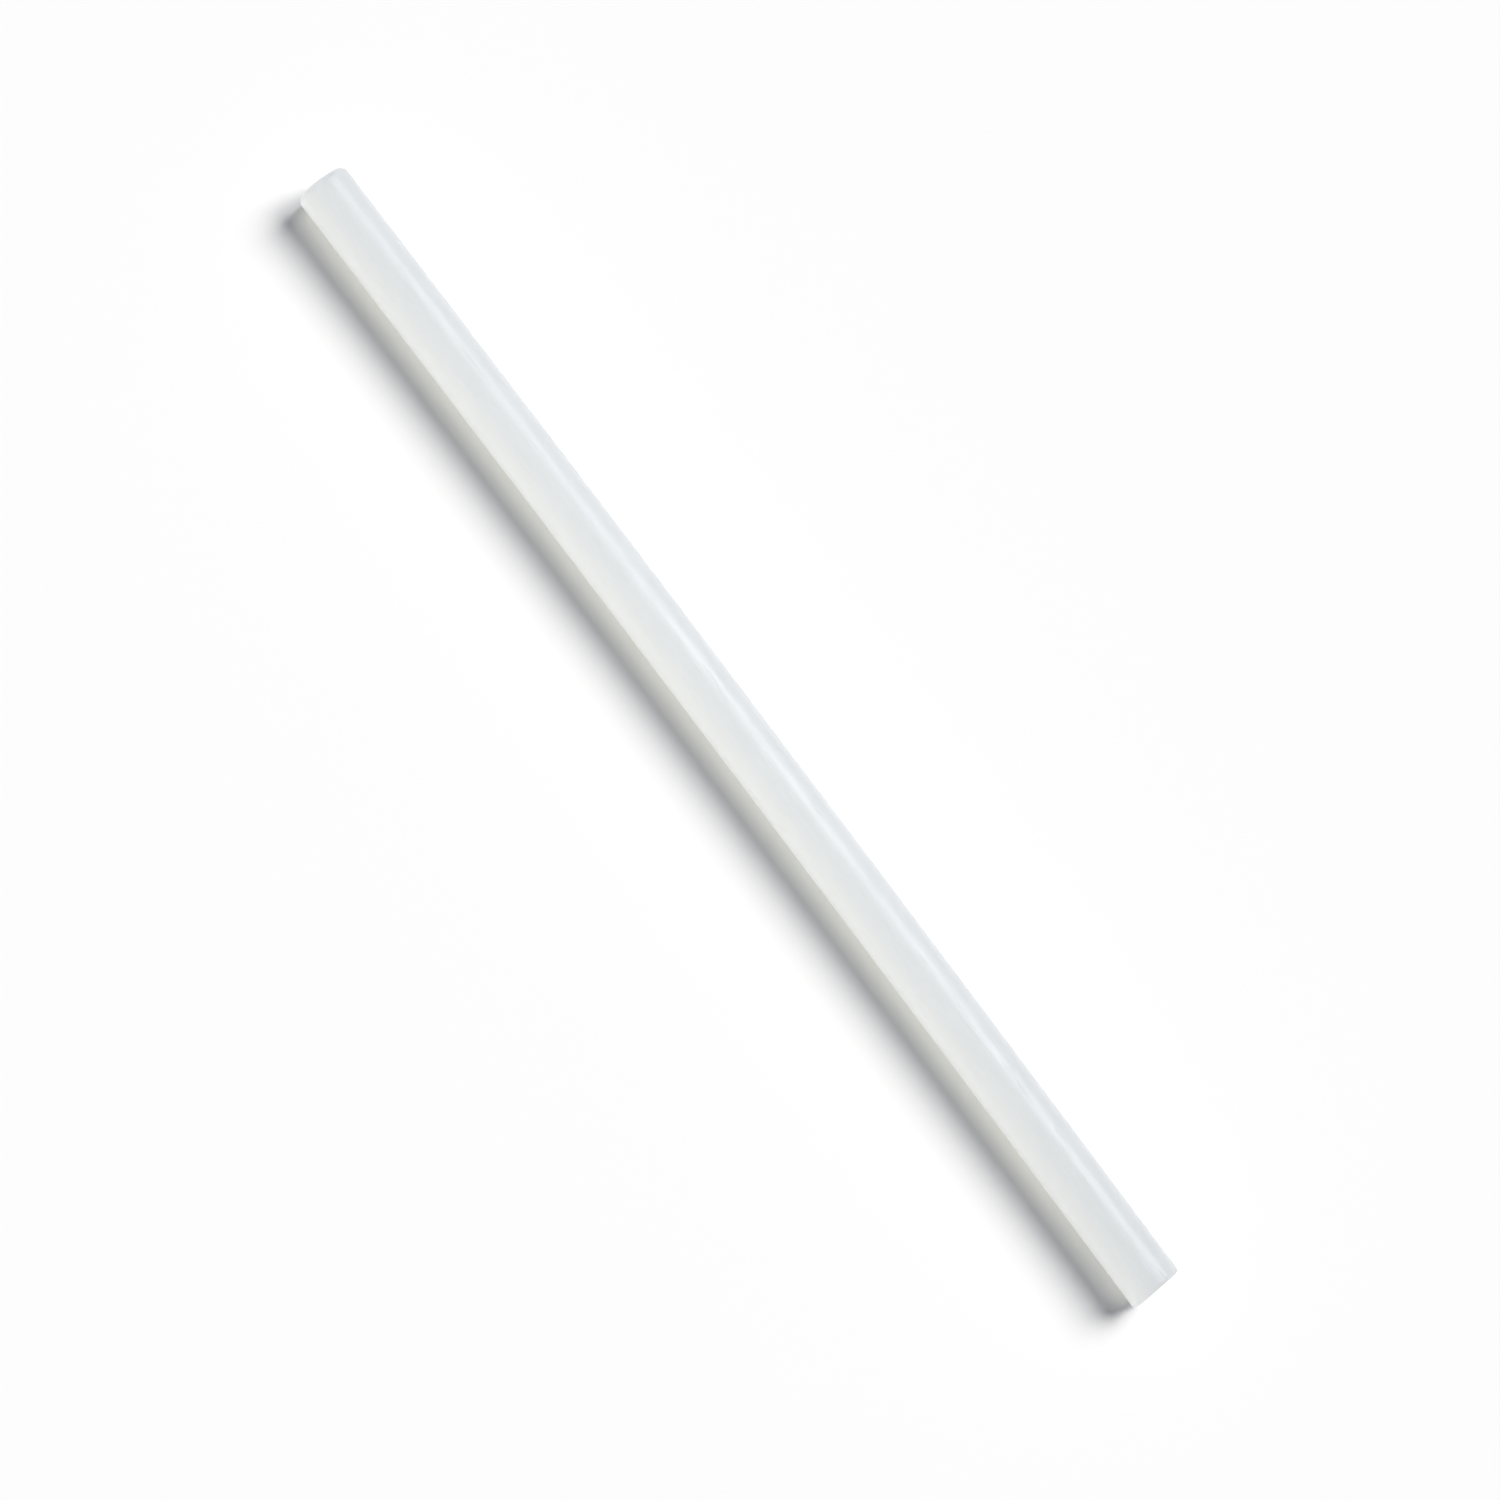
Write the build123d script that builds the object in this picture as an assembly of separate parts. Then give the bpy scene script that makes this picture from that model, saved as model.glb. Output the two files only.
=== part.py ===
from build123d import *
import math
import os

# A hot-melt glue stick: one solid rod of extruded adhesive, chopped square at both ends.
# It lies along X. The origin is under the rod's middle, on the line where it rests, and +Z is up.

# Driving dimensions, in millimetres
stick_length = 270.0
stick_diameter = 11.3
cut_edge_radius = 0.6      # rim of the end that leaves the chopping knife last, at +X
pressed_edge_radius = 1.2  # rim of the end that the knife presses round, at -X

axis_height = stick_diameter / 2
cut_face_x = stick_length / 2
pressed_face_x = -stick_length / 2


def extruded_rod():
    """The round bar as it leaves the extruder, at its full length."""
    start = Plane(origin=(pressed_face_x, 0, axis_height), z_dir=(1, 0, 0))
    profile = start * Circle(stick_diameter / 2)
    return extrude(profile, stick_length)


def rim_at(rod, face_x):
    """The circular edge between the rod's side and the end face at face_x."""
    return [rim for rim in rod.edges() if math.isclose(rim.center().X, face_x, abs_tol=1e-6)
            and rim.geom_type == GeomType.CIRCLE]


def glue_stick():
    """The rod with each rim rounded as its cut leaves it."""
    rod = extruded_rod()
    rod = fillet(rim_at(rod, cut_face_x), cut_edge_radius)
    return fillet(rim_at(rod, pressed_face_x), pressed_edge_radius)


os.makedirs("parts", exist_ok=True)
export_step(glue_stick(), "parts/glue_stick.step")
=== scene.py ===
import bpy
import bmesh
import math
from mathutils import Matrix, Vector


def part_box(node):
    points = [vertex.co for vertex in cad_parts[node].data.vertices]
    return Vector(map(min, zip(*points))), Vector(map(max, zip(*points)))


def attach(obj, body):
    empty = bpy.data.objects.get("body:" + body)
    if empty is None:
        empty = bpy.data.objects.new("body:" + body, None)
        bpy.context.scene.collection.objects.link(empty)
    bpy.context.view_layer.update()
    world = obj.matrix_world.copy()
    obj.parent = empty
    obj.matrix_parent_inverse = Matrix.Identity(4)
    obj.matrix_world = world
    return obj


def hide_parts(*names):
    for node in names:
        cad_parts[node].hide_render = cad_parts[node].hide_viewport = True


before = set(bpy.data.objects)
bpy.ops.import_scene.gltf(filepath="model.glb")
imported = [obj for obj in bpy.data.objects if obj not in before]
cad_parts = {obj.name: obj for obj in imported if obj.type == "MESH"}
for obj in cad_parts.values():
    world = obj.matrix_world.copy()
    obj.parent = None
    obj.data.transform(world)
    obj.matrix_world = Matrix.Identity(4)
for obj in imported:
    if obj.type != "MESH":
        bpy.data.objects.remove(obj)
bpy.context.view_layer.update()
scene = bpy.context.scene
nodeLow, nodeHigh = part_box("glue_stick")
stickLength = nodeHigh.x - nodeLow.x
stickRadius = (nodeHigh.z - nodeLow.z) / 2
print("frame loaded")

# Sizes are in metres. Angles are in degrees, except for the turns of the adhesive's patterns.
cutEnd = {"side": 1, "slant": -3.9, "rimRadius": 0.0009, "rimSteps": 6, "sink": 0.00016}
pressedEnd = {"side": -1, "slant": 0.5, "rimRadius": 0.0012, "rimSteps": 9, "sink": 0.00024}
rod = {
    "sides": 144,
    "ringCuts": 90,
    "spareLength": 0.0005,   # each end is chopped off this much past its face
    "bow": 0.00048,          # how far the middle stands off a straight line, towards +Y
    "wander": 0.00002,       # how unevenly the extruded side runs
    "wanderScale": 0.016,
    "faceRings": 14,
    "faceRelief": 0.00011,   # how roughly the blade tore the chopped faces
    "faceReliefScale": 0.0012,
    "faceReliefFade": 3,     # how steeply that relief rises from the rim inwards
    "cutTolerance": 1e-6,    # how near the knife's plane counts as lying on it
    "smoothBelow": 50,       # edges that turn less than this are shaded smooth
}


def selectOnly(piece):
    bpy.ops.object.select_all(action="DESELECT")
    piece.select_set(True)
    bpy.context.view_layer.objects.active = piece


def selectWhere(piece, kind, wanted):
    # selects in edit mode the edges or faces that the test accepts
    bpy.ops.mesh.select_all(action="DESELECT")
    bpy.ops.mesh.select_mode(type=kind)
    mesh = bmesh.from_edit_mesh(piece.data)
    for item in mesh.edges if kind == "EDGE" else mesh.faces:
        item.select_set(wanted(item))
    mesh.select_flush_mode()
    bmesh.update_edit_mesh(piece.data)


def extrudeBar():
    bpy.ops.object.select_all(action="DESELECT")
    bpy.ops.mesh.primitive_cylinder_add(
        vertices=rod["sides"], radius=stickRadius, depth=stickLength + 2 * rod["spareLength"],
        end_fill_type="NGON", location=(0, 0, stickRadius), rotation=(0, math.pi / 2, 0))
    bar = bpy.context.active_object
    bar.name = bar.data.name = "glueStickRod"
    bpy.ops.object.transform_apply(location=True, rotation=True, scale=True)
    bpy.ops.object.mode_set(mode="EDIT")
    selectWhere(bar, "EDGE", lambda edge: edge.calc_length() > stickLength)
    bpy.ops.mesh.subdivide(number_cuts=rod["ringCuts"])
    bpy.ops.object.mode_set(mode="OBJECT")
    return bar


def endNormal(end):
    slant = math.radians(end["slant"])
    return Vector((end["side"] * math.cos(slant), -math.sin(slant), 0))


def applyDisplace(bar, name, size, strength, group=""):
    # only ever pushes the skin inwards
    texture = bpy.data.textures.new(name, "CLOUDS")
    texture.noise_scale = size
    push = bar.modifiers.new(name, "DISPLACE")
    push.texture = texture
    push.texture_coords = "LOCAL"
    push.strength = strength
    push.mid_level = 1.0
    push.vertex_group = group
    bpy.ops.object.modifier_apply(modifier=push.name)


def roughenFace(bar, middle, normal, end):
    # the torn relief of one chopped face, fading out towards its rim
    flatRadius = stickRadius - end["rimRadius"]
    torn = bar.vertex_groups.new(name="tornFace")
    for vertex in bar.data.vertices:
        offset = vertex.co - middle
        fromAxis = math.hypot(offset.y, offset.z)
        if abs(offset.dot(normal)) < 2 * end["sink"] and fromAxis < flatRadius:
            weight = min(1.0, rod["faceReliefFade"] * (1 - fromAxis / flatRadius))
            torn.add([vertex.index], weight, "REPLACE")
    applyDisplace(bar, "tornFace", rod["faceReliefScale"], rod["faceRelief"], torn.name)
    bar.vertex_groups.clear()


def chopEnd(bar, end):
    # the knife's cut and its rounded rim, then the face inside the rim, in rings that sink
    # towards a middle point
    middle = Vector((end["side"] * stickLength / 2, 0, stickRadius))
    normal = endNormal(end)
    reach = stickRadius * abs(math.tan(math.radians(end["slant"])))
    middle.x -= end["side"] * reach
    selectOnly(bar)
    bpy.ops.object.mode_set(mode="EDIT")
    bpy.ops.mesh.select_all(action="SELECT")
    bpy.ops.mesh.bisect(plane_co=middle, plane_no=normal, use_fill=True, clear_outer=True)

    def onCut(point):
        return abs((point - middle).dot(normal)) < rod["cutTolerance"]

    selectWhere(bar, "EDGE", lambda edge: all(onCut(v.co) for v in edge.verts))
    bpy.ops.mesh.bevel(offset=end["rimRadius"], segments=end["rimSteps"], profile=0.5, affect="EDGES")
    selectWhere(bar, "FACE", lambda face: all(onCut(v.co) for v in face.verts))
    rings = rod["faceRings"]
    ringWidth = (stickRadius - end["rimRadius"]) / (rings + 1)
    for ring in range(rings):
        depth = -end["sink"] * 2 * (rings - ring) / (rings * (rings + 1))
        bpy.ops.mesh.inset(thickness=ringWidth, depth=depth)
    bpy.ops.mesh.poke()
    bpy.ops.object.mode_set(mode="OBJECT")
    roughenFace(bar, middle, normal, end)


def bowBar(bar):
    selectOnly(bar)
    bend = bar.modifiers.new("bow", "SIMPLE_DEFORM")
    bend.deform_method = "BEND"
    bend.deform_axis = "Z"
    bend.angle = -8 * rod["bow"] / stickLength   # a shallow arc stands off by angle * length / 8
    bpy.ops.object.modifier_apply(modifier=bend.name)
    bpy.ops.object.mode_set(mode="EDIT")
    bpy.ops.mesh.select_all(action="SELECT")
    bpy.ops.transform.translate(value=(0, rod["bow"] / 2, 0))   # now as far out on both sides
    bpy.ops.object.mode_set(mode="OBJECT")


def makeStick():
    bar = extrudeBar()
    for end in (cutEnd, pressedEnd):
        chopEnd(bar, end)
    bowBar(bar)
    applyDisplace(bar, "extruderWander", rod["wanderScale"], rod["wander"])
    selectOnly(bar)
    bpy.ops.object.shade_smooth_by_angle(angle=math.radians(rod["smoothBelow"]))
    print("stick shaped:", len(bar.data.vertices), "vertices")
    return bar


adhesive = {
    "colour": (0.968, 0.976, 0.966, 1),
    "clouding": (0.950, 0.968, 0.970, 1),
    "cloudScale": 48,
    "mottleScale": 420,
    "mottleShare": 0.35,
    "cloudRange": (0.3, 0.7),   # the part of the cloud pattern that shows
    "cloudDetail": 2.0,
    "mottleDetail": 3.0,
    "depth": 0.0150,            # how far light wanders inside
    "depthShare": (0.90, 0.65),  # how much light goes in, on the side and on the chopped faces
    "bending": 1.48,            # index of refraction
    "shine": 0.3,
    "roughness": (0.36, 0.44),
    "scuffGloss": 0.16,         # roughness that scuffs add
    "cutGloss": 0.16,           # and that the chopped faces add
    "drawLines": (5, 1100, 1100),
    "drawDetail": 3.0,
    "scuffTurn": 0.5,           # radians
    "scuffLines": (150, 1300, 1300),
    "scuffDetail": 2.0,
    "scuffRange": (0.60, 0.70),  # only the peaks of their pattern leave a mark
    "chatterScale": 390,
    "chatterTurn": 0.35,        # radians
    "chatterWarp": {"Distortion": 2.6, "Detail": 2.0, "Detail Scale": 1.6},
    "reliefDepth": 0.000030,
    "reliefShares": (1.0, 1.3, 1.3),   # drawn lines, scuffs, blade chatter
    "faceTurnedOut": (0.75, 0.97),     # how squarely the skin of a chopped face looks along the rod
    "faceEase": 0.001,                 # how far before the faces that starts to count
    "glow": 0.672,              # share of lamplight that passes each side, looked at straight on
    "glowTint": (1.0, 1.0, 0.932),
    "glowFalloff": 6.0,
    "glowEnds": (0.112, 0.144),   # from here to here it fades, as light leaves by the end faces
    "glowEndShare": 0.85,
    "glowShift": 0.009,           # the fading starts sooner at the +X end
}


def wire(tree, kind, inputs, **options):
    # adds a node, and gives each named input a value or another node's output
    node = tree.nodes.new("ShaderNode" + kind)
    for option, value in options.items():
        setattr(node, option, value)
    for name, value in inputs.items():
        if isinstance(value, bpy.types.NodeSocket):
            tree.links.new(value, node.inputs[name])
        else:
            node.inputs[name].default_value = value
    return node


def calculate(tree, operation, first, second=0.0):
    return wire(tree, "Math", {0: first, 1: second}, operation=operation).outputs["Value"]


def ramp(tree, value, fromRange, toRange=(0.0, 1.0)):
    limits = {"Value": value, "From Min": fromRange[0], "From Max": fromRange[1],
              "To Min": toRange[0], "To Max": toRange[1]}
    return wire(tree, "MapRange", limits).outputs["Result"]


def noise(tree, place, scale, detail):
    return wire(tree, "TexNoise", {"Vector": place, "Scale": scale, "Detail": detail}).outputs["Fac"]


def alongRod(tree, vector):
    return wire(tree, "SeparateXYZ", {"Vector": vector}).outputs["X"]


def colourSocket(sockets, name):
    # a Mix node has sockets of one name for each kind of value
    return [socket for socket in sockets if socket.name == name and socket.type == "RGBA"][0]


def endFaceMask(tree, place):
    # 1 on the two chopped faces and 0 along the side
    fromMiddle = calculate(tree, "ABSOLUTE", alongRod(tree, place))
    faceStart = stickLength / 2 - 2 * stickRadius * abs(math.tan(math.radians(cutEnd["slant"])))
    nearEnd = ramp(tree, fromMiddle, (faceStart - adhesive["faceEase"], faceStart))
    normal = wire(tree, "TexCoord", {}).outputs["Normal"]
    squareness = calculate(tree, "ABSOLUTE", alongRod(tree, normal))
    facingOut = ramp(tree, squareness, adhesive["faceTurnedOut"])
    return calculate(tree, "MULTIPLY", facingOut, nearEnd)


def surfaceRelief(tree, place, scuffs, faces):
    # lines drawn along the rod by the die, handling scuffs, and chatter of the blade on the faces
    drawn = wire(tree, "Mapping", {"Vector": place, "Scale": adhesive["drawLines"]}).outputs["Vector"]
    lines = noise(tree, drawn, 1.0, adhesive["drawDetail"])
    turn = (adhesive["chatterTurn"], 0, 0)
    turned = wire(tree, "Mapping", {"Vector": place, "Rotation": turn}).outputs["Vector"]
    waves = {"Vector": turned, "Scale": adhesive["chatterScale"], **adhesive["chatterWarp"]}
    bands = wire(tree, "TexWave", waves, bands_direction="Z").outputs["Fac"]
    chatter = calculate(tree, "MULTIPLY", bands, faces)
    height = 0.0
    for pattern, share in zip((lines, scuffs, chatter), adhesive["reliefShares"]):
        height = calculate(tree, "ADD", height, calculate(tree, "MULTIPLY", pattern, share))
    bump = {"Height": height, "Distance": adhesive["reliefDepth"], "Strength": 1.0}
    return wire(tree, "Bump", bump).outputs["Normal"]


def throughLight(tree, place):
    # lamplight that the milky rod passes on to the floor, less at a slant and near its ends
    facing = wire(tree, "LayerWeight", {"Blend": 0.5}).outputs["Facing"]
    straight = calculate(tree, "SUBTRACT", 1.0, facing)
    falloff = calculate(tree, "POWER", straight, adhesive["glowFalloff"])
    shifted = calculate(tree, "ADD", alongRod(tree, place), adhesive["glowShift"])
    fromMiddle = calculate(tree, "ABSOLUTE", shifted)
    nearEnds = ramp(tree, fromMiddle, adhesive["glowEnds"], (1.0, adhesive["glowEndShare"]))
    share = calculate(tree, "MULTIPLY", falloff, nearEnds)
    straightOn = [adhesive["glow"] * tint for tint in adhesive["glowTint"]]
    passed = wire(tree, "VectorMath", {0: straightOn, "Scale": share}, operation="SCALE")
    return wire(tree, "BsdfTransparent", {"Color": passed.outputs["Vector"]}).outputs["BSDF"]


def adhesiveMaterial():
    mat = bpy.data.materials.new("hotMeltAdhesive")
    mat.use_nodes = True
    tree = mat.node_tree
    tree.nodes.clear()
    place = wire(tree, "TexCoord", {}).outputs["Object"]
    faces = endFaceMask(tree, place)

    # milkiness in soft clouds with a finer mottle
    cloud = noise(tree, place, adhesive["cloudScale"], adhesive["cloudDetail"])
    mottle = noise(tree, place, adhesive["mottleScale"], adhesive["mottleDetail"])
    milk = wire(tree, "Mix", {"Factor": adhesive["mottleShare"], "A": cloud, "B": mottle}).outputs["Result"]
    tint = wire(tree, "Mix", {"Factor": ramp(tree, milk, adhesive["cloudRange"])}, data_type="RGBA")
    colourSocket(tint.inputs, "A").default_value = adhesive["colour"]
    colourSocket(tint.inputs, "B").default_value = adhesive["clouding"]

    # faint scuffs slanting over the side, and none on the chopped faces
    scuffing = {"Vector": place, "Rotation": (0, 0, adhesive["scuffTurn"]), "Scale": adhesive["scuffLines"]}
    turned = wire(tree, "Mapping", scuffing).outputs["Vector"]
    scuffs = ramp(tree, noise(tree, turned, 1.0, adhesive["scuffDetail"]), adhesive["scuffRange"])
    scuffs = calculate(tree, "MULTIPLY", scuffs, calculate(tree, "SUBTRACT", 1.0, faces))

    gloss = ramp(tree, cloud, adhesive["cloudRange"], adhesive["roughness"])
    for pattern, added in ((scuffs, adhesive["scuffGloss"]), (faces, adhesive["cutGloss"])):
        gloss = calculate(tree, "ADD", gloss, calculate(tree, "MULTIPLY", pattern, added))

    body = wire(tree, "BsdfPrincipled", {
        "Base Color": colourSocket(tint.outputs, "Result"),
        "Roughness": gloss,
        "IOR": adhesive["bending"],
        "Specular IOR Level": adhesive["shine"],
        "Subsurface Weight": ramp(tree, faces, (0.0, 1.0), adhesive["depthShare"]),
        "Subsurface Radius": (1.0, 1.0, 1.0),
        "Subsurface Scale": adhesive["depth"],
        "Normal": surfaceRelief(tree, place, scuffs, faces),
    })
    shadowRay = wire(tree, "LightPath", {}).outputs["Is Shadow Ray"]
    chooser = wire(tree, "MixShader", {0: shadowRay, 1: body.outputs["BSDF"], 2: throughLight(tree, place)})
    wire(tree, "OutputMaterial", {"Surface": chooser.outputs["Shader"]})
    print("adhesive mixed:", len(tree.nodes), "nodes")
    return mat


studio = {
    "floorSize": 60,
    "floorColour": (0.92, 0.92, 0.92, 1),
    "fill": 0.135,
    "fillColour": (0.92, 0.98, 1.27, 1),
    "backdrop": 0.9885,
    "backdropColour": (1, 1, 1, 1),
}
# Elevation is above the floor, and bearing is turned from +Y towards +X.
floorLamp = {"name": "floorKey", "power": 3.95, "colour": (1.014, 1.001, 0.960), "width": 34,
             "elevation": 47.9, "bearing": 6, "distance": 2}
softboxes = [
    {"name": "rodKey", "power": 1.13, "colour": (0.937, 1.008, 1.010), "size": (0.5, 0.5),
     "elevation": 50, "bearing": -6, "distance": 0.42, "shows": "diffuse"},
    {"name": "rodFill", "power": 1.24, "colour": (1.0, 1.003, 0.895), "size": (0.5, 0.5),
     "elevation": 30, "bearing": 184, "distance": 0.42, "shows": "diffuse"},
    {"name": "pressedEndFill", "power": 6.4, "colour": (0.96, 1.0, 1.01), "size": (1.2, 1.2),
     "elevation": 13, "bearing": -90, "distance": 2.0, "shows": "diffuse"},
    {"name": "cutEndFill", "power": 8.6, "colour": (0.96, 1.0, 1.01), "size": (1.2, 1.2),
     "elevation": 13, "bearing": 90, "distance": 2.0, "shows": "diffuse"},
    {"name": "rodSheen", "power": 12.0, "colour": (0.99, 1.0, 1.02), "size": (0.54, 0.56),
     "elevation": 46, "bearing": -4, "distance": 1.0, "shows": "glossy"},
]


def makeFloor():
    bpy.ops.object.select_all(action="DESELECT")
    bpy.ops.mesh.primitive_plane_add(size=studio["floorSize"], location=(0, 0, 0))
    floor = bpy.context.active_object
    floor.name = "studioFloor"
    paper = bpy.data.materials.new("whitePaper")
    paper.use_nodes = True
    sheet = paper.node_tree.nodes["Principled BSDF"]
    sheet.inputs["Base Color"].default_value = studio["floorColour"]
    sheet.inputs["Roughness"].default_value = 1.0
    sheet.inputs["Specular IOR Level"].default_value = 0.0
    floor.data.materials.append(paper)
    return floor


def hangLamp(kind, values, lit):
    # each lamp lights one thing alone, but everything casts its shadow
    rise = math.radians(values["elevation"])
    turn = math.radians(values["bearing"])
    towards = Vector((math.sin(turn) * math.cos(rise), math.cos(turn) * math.cos(rise), math.sin(rise)))
    bpy.ops.object.light_add(type=kind, location=towards * values["distance"])
    lamp = bpy.context.active_object
    lamp.name = values["name"]
    lamp.rotation_euler = towards.to_track_quat("Z", "Y").to_euler()
    lamp.data.energy = values["power"]
    lamp.data.color = values["colour"]
    receivers = bpy.data.collections.new(values["name"] + "Receivers")
    receivers.objects.link(lit)
    lamp.light_linking.receiver_collection = receivers
    return lamp


def hangFloorLamp(floor):
    lamp = hangLamp("SUN", floorLamp, floor)
    lamp.data.angle = math.radians(floorLamp["width"])
    lamp.visible_glossy = False


def hangSoftbox(values, rodPiece):
    lamp = hangLamp("AREA", values, rodPiece)
    lamp.data.shape = "RECTANGLE"
    lamp.data.size, lamp.data.size_y = values["size"]
    lamp.visible_diffuse = values["shows"] == "diffuse"
    lamp.visible_glossy = values["shows"] == "glossy"


def makeSurroundings():
    # dim fill from all around, and a backdrop that only the camera sees
    world = bpy.data.worlds.new("studio")
    world.use_nodes = True
    scene.world = world
    tree = world.node_tree
    tree.nodes.clear()
    fill = wire(tree, "Background", {"Color": studio["fillColour"], "Strength": studio["fill"]})
    backdrop = wire(tree, "Background", {"Color": studio["backdropColour"], "Strength": studio["backdrop"]})
    seen = wire(tree, "LightPath", {}).outputs["Is Camera Ray"]
    shaders = {0: seen, 1: fill.outputs["Background"], 2: backdrop.outputs["Background"]}
    chooser = wire(tree, "MixShader", shaders)
    wire(tree, "OutputWorld", {"Surface": chooser.outputs["Shader"]})


lens = {
    "place": (0.1342, -0.24309, 1.3712),
    "aim": (0.00437, -0.00004, 0.00565),
    "roll": 52.972,
    "focal": 172.85,     # mm
    "sensorWidth": 36,   # mm
    "nearest": 0.05,
    "farthest": 100,
}


def makeCamera():
    bpy.ops.object.camera_add(location=lens["place"])
    camera = bpy.context.active_object
    camera.name = "overheadCamera"
    camera.data.lens = lens["focal"]
    camera.data.sensor_width = lens["sensorWidth"]
    camera.data.clip_start = lens["nearest"]
    camera.data.clip_end = lens["farthest"]
    roll = math.radians(lens["roll"])
    back = (Vector(lens["place"]) - Vector(lens["aim"])).normalized()
    pictureUp = Vector((-math.sin(roll), math.cos(roll), 0))
    right = pictureUp.cross(back).normalized()
    up = back.cross(right)
    axes = [(right[i], up[i], back[i]) for i in range(3)]
    camera.rotation_mode = "QUATERNION"
    camera.rotation_quaternion = Matrix(axes).to_quaternion()
    scene.camera = camera


makeCamera()
stick = makeStick()
hangFloorLamp(makeFloor())
makeSurroundings()
for softbox in softboxes:
    hangSoftbox(softbox, stick)
print("studio lit")
stick.data.materials.append(adhesiveMaterial())
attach(stick, "root")
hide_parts("glue_stick")
scene.view_settings.view_transform = "Standard"
